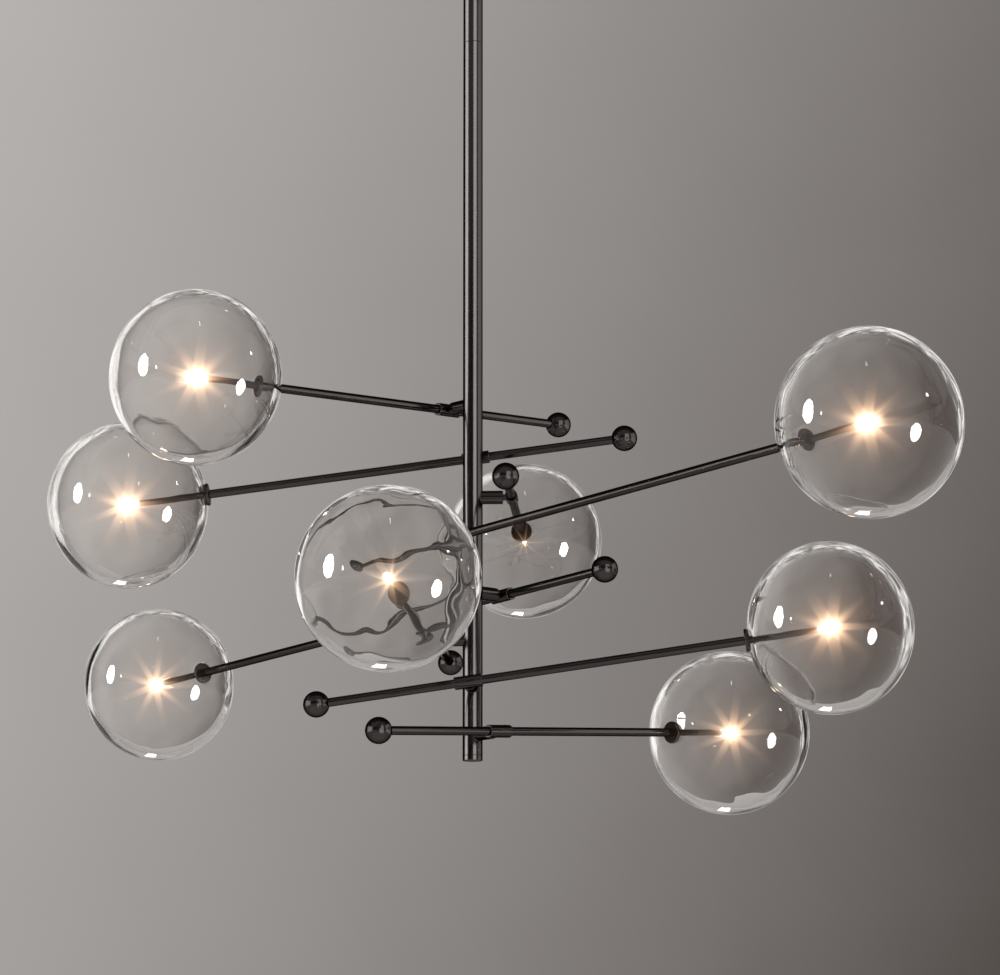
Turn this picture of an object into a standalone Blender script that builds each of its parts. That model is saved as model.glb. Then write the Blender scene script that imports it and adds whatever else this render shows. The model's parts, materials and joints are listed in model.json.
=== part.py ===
# Bubble chandelier: eight clear blown glass globes on tilting arms round one hanging stem. Each arm runs
# through a collar that pivots on a short boss, and a ball behind the pivot helps to balance its globe.
# Metres, +Z up. The origin is the centre of the bracket's top face, where the light meets the ceiling.

import math

import bmesh
import bpy
from mathutils import Matrix, Vector

# Clearances between pieces that touch or turn in each other, and how far a cutter passes its wall
GAP = 0.0003
OVERRUN = 0.002
MERGE_WITHIN = 0.00001

# Edges that turn by more than this stay crisp where a round piece is shaded smooth, in degrees
CRISP_ANGLE = 40

# Stem: an upper tube plugged into a lower tube that is closed at its foot
STEM_DIAMETER = 0.025
STEM_WALL = 0.002
LOWER_STEM_LENGTH = 0.928
UPPER_STEM_LENGTH = 0.119
STEM_FLOOR = 0.004
STEM_EDGE = 0.0008
PLUG_LENGTH = 0.022
PLUG_WALL = 0.002
PLUG_SHOULDER = 0.004

# Ceiling bracket: a flat bar with a threaded hub that the stem hangs on
BRACKET_LENGTH = 0.104
BRACKET_WIDTH = 0.028
BRACKET_THICKNESS = 0.003
BRACKET_SCREW_SPACING = 0.07
BRACKET_SCREW_HOLE = 0.005
HUB_LENGTH = 0.02
HUB_BORE = 0.012

# Canopy: a shallow spun cup with a collar that grips the stem
CANOPY_DIAMETER = 0.13
CANOPY_HEIGHT = 0.034
CANOPY_WALL = 0.0016
CANOPY_CORNER = 0.007
CANOPY_COLLAR_DIAMETER = 0.036
CANOPY_COLLAR_HEIGHT = 0.008

# Pivots: a boss brazed to the stem, and a hollow pin on the collar that turns in the boss
ARM_SPACING = 0.06
LOWEST_ARM_HEIGHT = 0.0325
ARM_OFFSET = 0.049
BOSS_DIAMETER = 0.017
BOSS_REACH = 0.038
BOSS_EDGE = 0.0008
BOSS_SOCKET_DEPTH = 0.014
BOSS_ROOT_SHARE = 0.5
PIN_DIAMETER = 0.008
PIN_ROOT_SHARE = 0.75
COLLAR_DIAMETER = 0.016
COLLAR_LENGTH = 0.035
COLLAR_EDGE = 0.0008
WIRE_WAY = 0.004
STEM_WIRE_HOLE = 0.006

# Arm tube, and the ball on its short end
TUBE_DIAMETER = 0.011
TUBE_WALL = 0.0015
BALL_DIAMETER = 0.033
BALL_REACH = 0.191
BALL_SOCKET_DEPTH = 0.012

# Globe: distances from its centre are measured along the arm
GLOBE_DIAMETER = 0.213
GLOBE_LENGTH = 0.205
GLOBE_SIDE_WALL = 0.0055
GLOBE_NECK_WALL = 0.0055
GLOBE_END_WALL = 0.009
GLOBE_NECK_HOLE = 0.016
GLOBE_SEAT_MARGIN = 0.001

# Lamp holder: a flange that carries the globe, and a slim tube that reaches to the globe's middle
FLANGE_DIAMETER = 0.0285
FLANGE_THICKNESS = 0.004
FLANGE_EDGE = 0.0008
NECK_PLUG_LENGTH = 0.004
HOLDER_SPIGOT_LENGTH = 0.014
LAMP_TUBE_DIAMETER = 0.008
LAMP_TUBE_BORE = 0.0046
LAMP_TUBE_TIP_DIAMETER = 0.0066
LAMP_TUBE_TAPER = 0.002
LAMP_TUBE_END = 0.015

# Capsule lamp
LAMP_DIAMETER = 0.0096
LAMP_END = 0.012
LAMP_PIN_LENGTH = 0.006
LAMP_SHOULDER = 0.0012

# Globe centre to pivot, along the arm
SHORT_REACH = 0.4
MIDDLE_REACH = 0.45
LONG_REACH = 0.735

# Arms from the top down: the way the boss points, the rise of the globe's end, both in degrees, and the
# reach. A boss that points along +X carries an arm whose globe lies towards +Y.
ARMS = (
    (135.6, -2.1, SHORT_REACH),
    (90.2, -7.0, MIDDLE_REACH),
    (1.8, 2.8, MIDDLE_REACH),
    (224.8, 2.7, LONG_REACH),
    (45.3, -3.0, LONG_REACH),
    (178.6, 0.7, MIDDLE_REACH),
    (268.5, 7.7, MIDDLE_REACH),
    (315.2, 4.2, SHORT_REACH),
)

# Sides of the turned pieces, and points along their curves
STEM_SIDES = 24
CANOPY_SIDES = 32
BOSS_SIDES = 16
SLIM_SIDES = 14
BALL_SIDES = 14
GLOBE_SIDES = 16
HOLE_SIDES = 10
BALL_STEPS = 7
GLOBE_STEPS = 9
GLOBE_INNER_STEPS = 7
CORNER_STEPS = 3
LAMP_STEPS = 3

# Heights and radii that follow from the sizes above
STEM_RADIUS = STEM_DIAMETER / 2
STEM_BORE_RADIUS = STEM_RADIUS - STEM_WALL
TUBE_RADIUS = TUBE_DIAMETER / 2
TUBE_BORE_RADIUS = TUBE_RADIUS - TUBE_WALL
BALL_RADIUS = BALL_DIAMETER / 2
STEM_TOP_Z = -BRACKET_THICKNESS
SEAM_Z = STEM_TOP_Z - UPPER_STEM_LENGTH
STEM_FOOT_Z = SEAM_Z - LOWER_STEM_LENGTH
FLANGE_SEAT_RADIUS = FLANGE_DIAMETER / 2 + GLOBE_SEAT_MARGIN
GLOBE_SEAT = GLOBE_LENGTH / 2 * math.sqrt(1 - (FLANGE_SEAT_RADIUS / (GLOBE_DIAMETER / 2)) ** 2)
FLANGE_FACE = GLOBE_SEAT + GAP
FLANGE_BACK = FLANGE_FACE + FLANGE_THICKNESS
BALL_SOCKET_FLOOR = BALL_RADIUS - BALL_SOCKET_DEPTH


def clear_scene():
    for obj in list(bpy.data.objects):
        bpy.data.objects.remove(obj)


def new_collection(name):
    collection = bpy.data.collections.new(name)
    bpy.context.scene.collection.children.link(collection)
    return collection


def new_material(name, colour, roughness, metallic, alpha=1.0, glow=0.0):
    material = bpy.data.materials.new(name)
    material.use_nodes = True
    shader = material.node_tree.nodes["Principled BSDF"]
    shader.inputs["Base Color"].default_value = (*colour, 1.0)
    shader.inputs["Roughness"].default_value = roughness
    shader.inputs["Metallic"].default_value = metallic
    shader.inputs["Alpha"].default_value = alpha
    shader.inputs["Emission Color"].default_value = (*colour, 1.0)
    shader.inputs["Emission Strength"].default_value = glow
    return material


clear_scene()
PARTS = new_collection("bubble_chandelier")
CUTTERS = new_collection("cutters")
BRONZE = new_material("dark_bronze", (0.035, 0.028, 0.025), 0.22, 1.0)
STEEL = new_material("zinc_plated_steel", (0.5, 0.5, 0.5), 0.4, 1.0)
GLASS = new_material("clear_glass", (0.95, 0.96, 0.96), 0.02, 0.0, alpha=0.3)
LAMP = new_material("warm_lamp", (1.0, 0.86, 0.68), 0.2, 0.0, glow=4.0)


def add_object(name, mesh, collection, parent=None):
    obj = bpy.data.objects.new(name, mesh)
    collection.objects.link(obj)
    obj.parent = parent
    return obj


def add_part(name, mesh, material, parent=None):
    obj = add_object(name, mesh, PARTS, parent)
    if not mesh.materials:
        mesh.materials.append(material)
    return obj


def as_cutter(obj):
    obj.hide_render = True
    obj.display_type = "WIRE"
    return obj


def frame_empty(name, height, azimuth, tilt=0.0):
    """An empty on the stem's axis: its X runs along the boss, and the tilt turns it about that X."""
    empty = add_object(name, None, PARTS)
    turn = Matrix.Rotation(math.radians(azimuth), 4, "Z") @ Matrix.Rotation(math.radians(tilt), 4, "X")
    empty.matrix_world = Matrix.Translation(Vector((0, 0, height))) @ turn
    return empty


def outline_mesh(name, outline, closed):
    """The profile of a turned piece as (radius, height) points, down its outer side from the top."""
    mesh = bpy.data.meshes.new(name)
    points = [(radius, 0, height) for radius, height in outline]
    edges = [(i, i + 1) for i in range(len(points) - 1)]
    if closed:
        edges.append((len(points) - 1, 0))
    mesh.from_pydata(points, edges, [])
    return mesh


def turn(obj, sides):
    """Revolves the object's outline about its own Z axis."""
    screw = obj.modifiers.new("turn", "SCREW")
    screw.axis = "Z"
    screw.angle = math.tau
    screw.steps = sides
    screw.render_steps = sides
    screw.use_smooth_shade = True
    screw.use_merge_vertices = True
    screw.merge_threshold = MERGE_WITHIN
    return obj


def along_x(obj, distance=0.0):
    """Points a turned piece's axis along its parent's X."""
    obj.rotation_euler = (0, math.pi / 2, 0)
    obj.location = (distance, 0, 0)
    return obj


def along_arm(obj, distance=0.0):
    """Puts a turned piece's axis on the arm's axis, pointing at the globe, distance beyond the pivot."""
    obj.rotation_euler = (-math.pi / 2, 0, 0)
    obj.location = (ARM_OFFSET, distance, 0)
    return obj


def boolean(obj, other, operation):
    modifier = obj.modifiers.new(operation.lower(), "BOOLEAN")
    modifier.object = other
    modifier.operation = operation
    modifier.solver = "EXACT"


def cylinder_mesh(name, radius, low, high, sides):
    """A closed cylinder along Z from low to high."""
    mesh = bpy.data.meshes.new(name)
    shape = bmesh.new()
    middle = Matrix.Translation(Vector((0, 0, (low + high) / 2)))
    bmesh.ops.create_cone(
        shape, cap_ends=True, segments=sides, radius1=radius, radius2=radius, depth=high - low, matrix=middle
    )
    shape.to_mesh(mesh)
    shape.free()
    mesh.shade_smooth()
    mesh.set_sharp_from_angle(angle=math.radians(CRISP_ANGLE))
    return mesh


def arc(middle, radii, start, end, steps):
    """Points on an ellipse about a (radius, height) middle, from one angle to another in degrees."""
    points = []
    for i in range(steps + 1):
        angle = math.radians(start + (end - start) * i / steps)
        points.append((middle[0] + radii[0] * math.cos(angle), middle[1] + radii[1] * math.sin(angle)))
    return points


def ring_outline(outer, inner, low, high, edge):
    """A plain tube's outline with its outer edges broken."""
    return [
        (outer - edge, high),
        (outer, high - edge),
        (outer, low + edge),
        (outer - edge, low),
        (inner, low),
        (inner, high),
    ]


def make_bracket():
    """The bar screwed to the ceiling box, with the hub that fits the stem's bore."""
    mesh = bpy.data.meshes.new("ceiling_bracket")
    shape = bmesh.new()
    bmesh.ops.create_cube(shape, size=1)
    size = Matrix.Diagonal((BRACKET_LENGTH, BRACKET_WIDTH, BRACKET_THICKNESS, 1))
    middle = Matrix.Translation(Vector((0, 0, -BRACKET_THICKNESS / 2)))
    shape.transform(middle @ size)
    shape.to_mesh(mesh)
    shape.free()
    bracket = add_part("ceiling_bracket", mesh, STEEL)
    hub_top = -BRACKET_THICKNESS / 2
    hub_foot = -BRACKET_THICKNESS - HUB_LENGTH
    hub = cylinder_mesh("bracket_hub", STEM_BORE_RADIUS - GAP, hub_foot, hub_top, STEM_SIDES)
    boolean(bracket, as_cutter(add_object("bracket_hub", hub, CUTTERS)), "UNION")
    bore = cylinder_mesh("hub_bore", HUB_BORE / 2, hub_foot - OVERRUN, OVERRUN, STEM_SIDES)
    boolean(bracket, as_cutter(add_object("hub_bore", bore, CUTTERS)), "DIFFERENCE")
    hole = cylinder_mesh(
        "bracket_screw_hole", BRACKET_SCREW_HOLE / 2, -BRACKET_THICKNESS - OVERRUN, OVERRUN, HOLE_SIDES
    )
    for side, name in ((-1, "left"), (1, "right")):
        cutter = as_cutter(add_object("bracket_screw_hole_" + name, hole, CUTTERS))
        cutter.location.x = side * BRACKET_SCREW_SPACING / 2
        boolean(bracket, cutter, "DIFFERENCE")


def make_canopy():
    """The cup that covers the bracket and the wiring, open towards the ceiling."""
    outer = CANOPY_DIAMETER / 2
    inner = outer - CANOPY_WALL
    foot = -CANOPY_HEIGHT
    collar_foot = foot - CANOPY_COLLAR_HEIGHT
    bore = STEM_RADIUS + GAP
    middle = (outer - CANOPY_CORNER, foot + CANOPY_CORNER)
    small = CANOPY_CORNER - CANOPY_WALL
    outline = [(outer, -GAP)]
    outline += arc(middle, (CANOPY_CORNER, CANOPY_CORNER), 0, -90, CORNER_STEPS)
    outline += [(CANOPY_COLLAR_DIAMETER / 2, foot), (CANOPY_COLLAR_DIAMETER / 2, collar_foot + STEM_EDGE)]
    outline += [(CANOPY_COLLAR_DIAMETER / 2 - STEM_EDGE, collar_foot), (bore, collar_foot)]
    outline += [(bore, foot + CANOPY_WALL)]
    outline += arc(middle, (small, small), -90, 0, CORNER_STEPS)
    outline += [(inner, -GAP)]
    turn(add_part("canopy", outline_mesh("canopy", outline, True), BRONZE), CANOPY_SIDES)


def make_upper_stem():
    """The tube from the bracket to the seam, with the plug that enters the lower tube."""
    top = STEM_TOP_Z - GAP
    plug = STEM_BORE_RADIUS - GAP
    plug_foot = SEAM_Z - PLUG_LENGTH
    outline = [
        (STEM_RADIUS - STEM_EDGE, top),
        (STEM_RADIUS, top - STEM_EDGE),
        (STEM_RADIUS, SEAM_Z + STEM_EDGE),
        (STEM_RADIUS - STEM_EDGE, SEAM_Z),
        (plug, SEAM_Z),
        (plug, plug_foot),
        (plug - PLUG_WALL, plug_foot),
        (plug - PLUG_WALL, SEAM_Z + PLUG_SHOULDER),
        (STEM_BORE_RADIUS, SEAM_Z + PLUG_SHOULDER),
        (STEM_BORE_RADIUS, top),
    ]
    turn(add_part("upper_stem", outline_mesh("upper_stem", outline, True), BRONZE), STEM_SIDES)


def make_lower_stem():
    """The long tube that carries the eight bosses, closed by a flat foot."""
    top = SEAM_Z - GAP
    outline = [
        (0, STEM_FOOT_Z + STEM_FLOOR),
        (STEM_BORE_RADIUS, STEM_FOOT_Z + STEM_FLOOR),
        (STEM_BORE_RADIUS, top),
        (STEM_RADIUS - STEM_EDGE, top),
        (STEM_RADIUS, top - STEM_EDGE),
        (STEM_RADIUS, STEM_FOOT_Z + STEM_EDGE),
        (STEM_RADIUS - STEM_EDGE, STEM_FOOT_Z),
        (0, STEM_FOOT_Z),
    ]
    stem = add_part("lower_stem", outline_mesh("lower_stem", outline, False), BRONZE)
    return turn(stem, STEM_SIDES)


def boss_mesh():
    """The boss's outline: its socket takes the pivot pin, and its root is cut to the stem."""
    outer = BOSS_DIAMETER / 2
    root = STEM_BORE_RADIUS * BOSS_ROOT_SHARE
    socket = PIN_DIAMETER / 2 + GAP
    socket_floor = BOSS_REACH - BOSS_SOCKET_DEPTH
    outline = [
        (outer - BOSS_EDGE, BOSS_REACH),
        (outer, BOSS_REACH - BOSS_EDGE),
        (outer, root),
        (STEM_WIRE_HOLE / 2, root),
        (STEM_WIRE_HOLE / 2, socket_floor),
        (socket, socket_floor),
        (socket, BOSS_REACH),
    ]
    return outline_mesh("pivot_boss", outline, True)


def collar_mesh():
    half = COLLAR_LENGTH / 2
    outline = ring_outline(COLLAR_DIAMETER / 2, TUBE_RADIUS + GAP, -half, half, COLLAR_EDGE)
    return outline_mesh("pivot_collar", outline, True)


def pin_mesh():
    """The pin that runs from the boss's socket into the collar's wall."""
    start = BOSS_REACH - BOSS_SOCKET_DEPTH + GAP
    wall = COLLAR_DIAMETER / 2 - TUBE_RADIUS - GAP
    end = ARM_OFFSET - COLLAR_DIAMETER / 2 + wall * PIN_ROOT_SHARE
    return cylinder_mesh("pivot_pin", PIN_DIAMETER / 2, start, end, SLIM_SIDES)


def wire_way_mesh():
    start = BOSS_REACH - BOSS_SOCKET_DEPTH - OVERRUN
    return cylinder_mesh("wire_way", WIRE_WAY / 2, start, ARM_OFFSET, HOLE_SIDES)


def tube_mesh(name, reach):
    """The arm's tube, from the ball's socket to the back of the flange."""
    low = -BALL_REACH + BALL_SOCKET_FLOOR + GAP
    high = reach - FLANGE_BACK - GAP
    outline = [
        (TUBE_RADIUS, high),
        (TUBE_RADIUS, low),
        (TUBE_BORE_RADIUS, low),
        (TUBE_BORE_RADIUS, high),
    ]
    return outline_mesh(name, outline, True)


def ball_mesh():
    """The counterweight: a ball with a blind socket for the end of the tube."""
    socket = TUBE_RADIUS + GAP
    mouth = math.degrees(math.acos(socket / BALL_RADIUS))
    outline = [(0, BALL_SOCKET_FLOOR), (socket, BALL_SOCKET_FLOOR)]
    outline += arc((0, 0), (BALL_RADIUS, BALL_RADIUS), mouth, -90, BALL_STEPS)
    outline[-1] = (0, -BALL_RADIUS)
    return outline_mesh("counterweight", outline, False)


def holder_mesh():
    """The flange and lamp tube, turned in one piece; heights run from the globe's centre."""
    flange = FLANGE_DIAMETER / 2
    plug = GLOBE_NECK_HOLE / 2 - GAP
    spigot = TUBE_BORE_RADIUS - GAP
    tube = LAMP_TUBE_DIAMETER / 2
    bore = LAMP_TUBE_BORE / 2
    spigot_foot = -FLANGE_BACK - HOLDER_SPIGOT_LENGTH
    outline = [
        (LAMP_TUBE_TIP_DIAMETER / 2, -LAMP_TUBE_END),
        (tube, -LAMP_TUBE_END - LAMP_TUBE_TAPER),
        (tube, -FLANGE_FACE + NECK_PLUG_LENGTH),
        (plug, -FLANGE_FACE + NECK_PLUG_LENGTH),
        (plug, -FLANGE_FACE),
        (flange - FLANGE_EDGE, -FLANGE_FACE),
        (flange, -FLANGE_FACE - FLANGE_EDGE),
        (flange, -FLANGE_BACK + FLANGE_EDGE),
        (flange - FLANGE_EDGE, -FLANGE_BACK),
        (spigot, -FLANGE_BACK),
        (spigot, spigot_foot),
        (bore, spigot_foot),
        (bore, -LAMP_TUBE_END),
    ]
    return outline_mesh("lampholder", outline, True)


def globe_mesh():
    """The blown shell, thickest at its far end, with a ground seat and a hole where the flange sits."""
    side = GLOBE_DIAMETER / 2
    end = GLOBE_LENGTH / 2
    hole = GLOBE_NECK_HOLE / 2
    seat = math.degrees(math.asin(GLOBE_SEAT / end))
    inner_side = side - GLOBE_SIDE_WALL
    inner_top = end - GLOBE_END_WALL
    inner_foot = -GLOBE_SEAT + GLOBE_NECK_WALL
    inner_middle = (inner_top + inner_foot) / 2
    inner_end = (inner_top - inner_foot) / 2
    mouth = math.degrees(math.acos(hole / inner_side))
    outline = arc((0, 0), (side, end), 90, -seat, GLOBE_STEPS)
    outline[0] = (0, end)
    outline += [(hole, -GLOBE_SEAT)]
    outline += arc((0, inner_middle), (inner_side, inner_end), -mouth, 90, GLOBE_INNER_STEPS)
    outline[-1] = (0, inner_top)
    return outline_mesh("globe", outline, False)


def lamp_mesh():
    """The capsule lamp with its pin base; heights run from the globe's centre."""
    body = LAMP_DIAMETER / 2
    pins = LAMP_TUBE_BORE / 2 - GAP
    base = -LAMP_TUBE_END + GAP
    outline = arc((0, LAMP_END - body), (body, body), 90, 0, LAMP_STEPS)
    outline[0] = (0, LAMP_END)
    outline += [
        (body, base + LAMP_SHOULDER),
        (body - LAMP_SHOULDER, base),
        (pins, base),
        (pins, base - LAMP_PIN_LENGTH),
        (0, base - LAMP_PIN_LENGTH),
    ]
    return outline_mesh("lamp", outline, False)


def make_arms(stem):
    """The eight bosses on the stem and the eight arms that pivot on them."""
    boss, collar, pin, wire_way = boss_mesh(), collar_mesh(), pin_mesh(), wire_way_mesh()
    ball, holder, globe, lamp = ball_mesh(), holder_mesh(), globe_mesh(), lamp_mesh()
    tubes = {
        SHORT_REACH: tube_mesh("short_arm_tube", SHORT_REACH),
        MIDDLE_REACH: tube_mesh("middle_arm_tube", MIDDLE_REACH),
        LONG_REACH: tube_mesh("long_arm_tube", LONG_REACH),
    }
    stem_hole = cylinder_mesh("stem_wire_hole", STEM_WIRE_HOLE / 2, 0, STEM_RADIUS + OVERRUN, HOLE_SIDES)
    clearance = cylinder_mesh("stem_clearance", STEM_RADIUS + GAP, STEM_FOOT_Z - OVERRUN, SEAM_Z, STEM_SIDES)
    stem_clearance = as_cutter(add_object("stem_clearance", clearance, CUTTERS))
    for index, (azimuth, tilt, reach) in enumerate(ARMS):
        number = str(index + 1)
        height = STEM_FOOT_Z + LOWEST_ARM_HEIGHT + ARM_SPACING * (len(ARMS) - 1 - index)
        seat = frame_empty("boss_seat_" + number, height, azimuth)
        pivot = frame_empty("arm_pivot_" + number, height, azimuth, tilt)

        hole = as_cutter(add_object("stem_wire_hole_" + number, stem_hole, CUTTERS, seat))
        boolean(stem, along_x(hole), "DIFFERENCE")
        boss_part = turn(along_x(add_part("pivot_boss_" + number, boss, BRONZE, seat)), BOSS_SIDES)
        boolean(boss_part, stem_clearance, "DIFFERENCE")

        way = along_x(as_cutter(add_object("wire_way_" + number, wire_way, CUTTERS, pivot)))
        pin_blank = along_x(as_cutter(add_object("pivot_pin_" + number, pin, CUTTERS, pivot)))
        collar_part = turn(along_arm(add_part("pivot_collar_" + number, collar, BRONZE, pivot)), SLIM_SIDES)
        boolean(collar_part, pin_blank, "UNION")
        boolean(collar_part, way, "DIFFERENCE")
        tube = turn(along_arm(add_part("arm_tube_" + number, tubes[reach], BRONZE, pivot)), SLIM_SIDES)
        boolean(tube, way, "DIFFERENCE")

        turn(along_arm(add_part("counterweight_" + number, ball, BRONZE, pivot), -BALL_REACH), BALL_SIDES)
        turn(along_arm(add_part("lampholder_" + number, holder, BRONZE, pivot), reach), SLIM_SIDES)
        turn(along_arm(add_part("globe_" + number, globe, GLASS, pivot), reach), GLOBE_SIDES)
        turn(along_arm(add_part("lamp_" + number, lamp, LAMP, pivot), reach), HOLE_SIDES)


def even_shading():
    """Keeps the flats of the smooth-shaded pieces flat: a corner's normal leans to its largest face."""
    for obj in PARTS.objects:
        if obj.type == "MESH":
            obj.modifiers.new("even_shading", "WEIGHTED_NORMAL")


make_bracket()
make_canopy()
make_upper_stem()
make_arms(make_lower_stem())
even_shading()
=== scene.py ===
import json
import math

import bpy
from mathutils import Matrix, Vector, noise


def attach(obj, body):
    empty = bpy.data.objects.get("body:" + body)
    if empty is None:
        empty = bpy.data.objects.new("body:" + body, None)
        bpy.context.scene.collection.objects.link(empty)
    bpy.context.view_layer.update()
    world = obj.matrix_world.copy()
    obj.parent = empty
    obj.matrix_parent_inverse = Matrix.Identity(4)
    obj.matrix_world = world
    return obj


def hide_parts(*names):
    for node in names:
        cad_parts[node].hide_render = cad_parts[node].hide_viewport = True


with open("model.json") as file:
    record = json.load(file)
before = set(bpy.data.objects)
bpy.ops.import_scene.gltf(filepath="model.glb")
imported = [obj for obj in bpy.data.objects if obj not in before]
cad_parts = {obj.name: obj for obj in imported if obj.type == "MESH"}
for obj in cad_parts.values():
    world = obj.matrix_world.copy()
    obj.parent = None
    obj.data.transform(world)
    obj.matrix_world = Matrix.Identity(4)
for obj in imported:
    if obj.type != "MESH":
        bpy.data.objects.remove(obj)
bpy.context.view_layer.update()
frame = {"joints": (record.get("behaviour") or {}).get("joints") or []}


# Ceiling bracket: a bar of zinc-plated strip steel with rounded corners and two screw holes, and a short hub
# pressed into it that the stem's tube slides over. Two screws would hold it to the ceiling.
PLATE_LENGTH = 0.104
PLATE_WIDTH = 0.028
PLATE_THICKNESS = 0.003
PLATE_CORNER = 0.005
PLATE_CORNER_STEPS = 6
PLATE_EDGE = 0.0004
PLATE_EDGE_STEPS = 2
PLATE_SCREW_PLACES = (-0.035, 0.035)
PLATE_SCREW_HOLE = 0.005
SCREW_SIDES = 24
HUB_DIAMETER = 0.0204
HUB_BORE = 0.012
HUB_LENGTH = 0.02
HUB_EDGE = 0.001
HUB_SIDES = 48
ZINC_PALE = (0.60, 0.61, 0.63, 1)
ZINC_DULL = (0.43, 0.43, 0.42, 1)
ZINC_WORN = (0.68, 0.68, 0.68, 1)
ZINC_WEAR = 0.6
ZINC_CLOUD_SIZE = 0.011
ZINC_ROLLING_SIZE = 0.002
ZINC_ROLLING_SQUEEZE = (0.15, 4, 1)
ZINC_ROLLING_DEPTH = 0.0001
ZINC_ROUGHNESS = 0.3
ZINC_CLOUD_ROUGHNESS = 0.12
ZINC_ROLLING_ROUGHNESS = 0.08
EDGE_STEPS = 4
CRISP_ANGLE = math.radians(35)


class Socket:
    """A node's output. Arithmetic on it adds Math nodes to the same shader."""

    def __init__(self, shader, output):
        self.shader, self.output = shader, output

    def math(self, operation, first, second):
        return self.shader.math(operation, first, second)

    def other(self, name):
        """Another output of the same node."""
        return Socket(self.shader, self.output.node.outputs[name])

    def __add__(self, other):
        return self.math("ADD", self, other)

    def __sub__(self, other):
        return self.math("SUBTRACT", self, other)

    def __rsub__(self, other):
        return self.math("SUBTRACT", other, self)

    def __mul__(self, other):
        return self.math("MULTIPLY", self, other)

    __radd__ = __add__
    __rmul__ = __mul__


class Shader:
    """The nodes of a finish, of the studio's backdrop or of the finished picture."""

    def __init__(self, owner):
        owner.use_nodes = True
        self.owner, self.tree = owner, owner.node_tree
        self.tree.nodes.clear()

    def node(self, kind, settings=(), inputs=(), output=0):
        """Adds a node: its settings first, then its sockets' values or links. Gives the named output."""
        made = self.tree.nodes.new(kind)
        for name, value in dict(settings).items():
            setattr(made, name, value)
        for name, value in dict(inputs).items():
            if isinstance(value, Socket):
                self.tree.links.new(value.output, made.inputs[name])
            else:
                made.inputs[name].default_value = value
        return Socket(self, made.outputs[output]) if made.outputs else None

    def math(self, operation, first, second):
        return self.node("ShaderNodeMath", {"operation": operation}, {0: first, 1: second})

    def mix(self, share, first, second):
        return self.node("ShaderNodeMix", {"data_type": "RGBA"}, {0: share, 6: first, 7: second}, 2)

    def grain(self, where, size, detail=2.0):
        """Soft noise between 0 and 1, with spots of about that size."""
        inputs = {"Vector": where, "Scale": 1 / size, "Detail": detail}
        return self.node("ShaderNodeTexNoise", {}, inputs, "Fac")

    def bump(self, height, depth, strength):
        return self.node("ShaderNodeBump", {}, {"Strength": strength, "Distance": depth, "Height": height})

    def surface(self, inputs):
        shader = self.node("ShaderNodeBsdfPrincipled", {}, inputs)
        self.node("ShaderNodeOutputMaterial", {}, {"Surface": shader})
        return self.owner


def arc(middle, radii, start, end, steps):
    """Points on an ellipse about its middle, from one angle to another in degrees."""
    points = []
    for step in range(steps + 1):
        angle = math.radians(start + (end - start) * step / steps)
        points.append((middle[0] + radii[0] * math.cos(angle), middle[1] + radii[1] * math.sin(angle)))
    return points


def eased(outline):
    """Rounds each corner that names a radius. Each point comes back with its share of wear added."""
    points = []
    for index, (x, y, *ease) in enumerate(outline):
        if not ease:
            points.append((x, y, 0.0))
            continue
        corner = Vector((x, y))
        before = (Vector(outline[index - 1][:2]) - corner).normalized()
        after = (Vector(outline[(index + 1) % len(outline)][:2]) - corner).normalized()
        half = before.angle(after) / 2
        middle = corner + (before + after).normalized() * ease[0] / math.sin(half)
        first = corner + before * ease[0] / math.tan(half) - middle
        last = corner + after * ease[0] / math.tan(half) - middle
        for step in range(EDGE_STEPS + 1):
            share = step / EDGE_STEPS
            point = middle + first.slerp(last, share) * ease[0]
            points.append((point.x, point.y, math.sin(math.pi * share)))
    return points


def turned(name, outline, sides, closed=True, shaped=None):
    """The mesh of a piece turned about its own Z axis.

    The outline runs down the outer side as (radius, height) points, some with the radius of their eased
    corner. shaped may move a point, given its place. The wear of the eased edges goes into "edge_wear".
    """
    points, wear, rows = [], [], []
    for radius, height, worn in eased(outline):
        count = sides if radius > 1e-6 else 1
        rows.append([len(points) + i % count for i in range(sides)])
        for i in range(count):
            angle = math.tau * i / sides
            points.append(Vector((radius * math.cos(angle), radius * math.sin(angle), height)))
        wear += [worn] * count
    faces = []
    for upper, lower in zip(rows, rows[1:] + rows[:1] if closed else rows[1:]):
        for i in range(sides):
            j = (i + 1) % sides
            face = list(dict.fromkeys((upper[i], lower[i], lower[j], upper[j])))
            if len(face) > 2:
                faces.append(face)
    mesh = bpy.data.meshes.new(name)
    mesh.from_pydata([shaped(p) for p in points] if shaped else points, [], faces)
    mesh.attributes.new("edge_wear", "FLOAT", "POINT").data.foreach_set("value", wear)
    mesh.shade_smooth()
    mesh.set_sharp_from_angle(angle=CRISP_ANGLE)
    return mesh


def ring_of_points(radius, count, x=0):
    angles = [math.tau * i / count for i in range(count)]
    return [(x + radius * math.cos(angle), radius * math.sin(angle)) for angle in angles]


def pressed(name, outlines, thickness, edge):
    """The mesh of a flat pressing with eased edges: the first outline is its rim, the others its holes."""
    curve = bpy.data.curves.new(name, "CURVE")
    curve.dimensions, curve.fill_mode = "2D", "BOTH"
    curve.extrude = thickness / 2 - edge
    curve.bevel_depth, curve.offset, curve.bevel_resolution = edge, -edge, PLATE_EDGE_STEPS
    for outline in outlines:
        spline = curve.splines.new("POLY")
        spline.points.add(len(outline) - 1)
        for point, (x, y) in zip(spline.points, outline):
            point.co = (x, y, 0, 1)
        spline.use_cyclic_u = True
    shape = bpy.data.objects.new(name, curve)
    mesh = bpy.data.meshes.new_from_object(shape)
    bpy.data.objects.remove(shape)
    mesh.name = name
    mesh.shade_smooth()
    mesh.set_sharp_from_angle(angle=CRISP_ANGLE)
    return mesh


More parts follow.
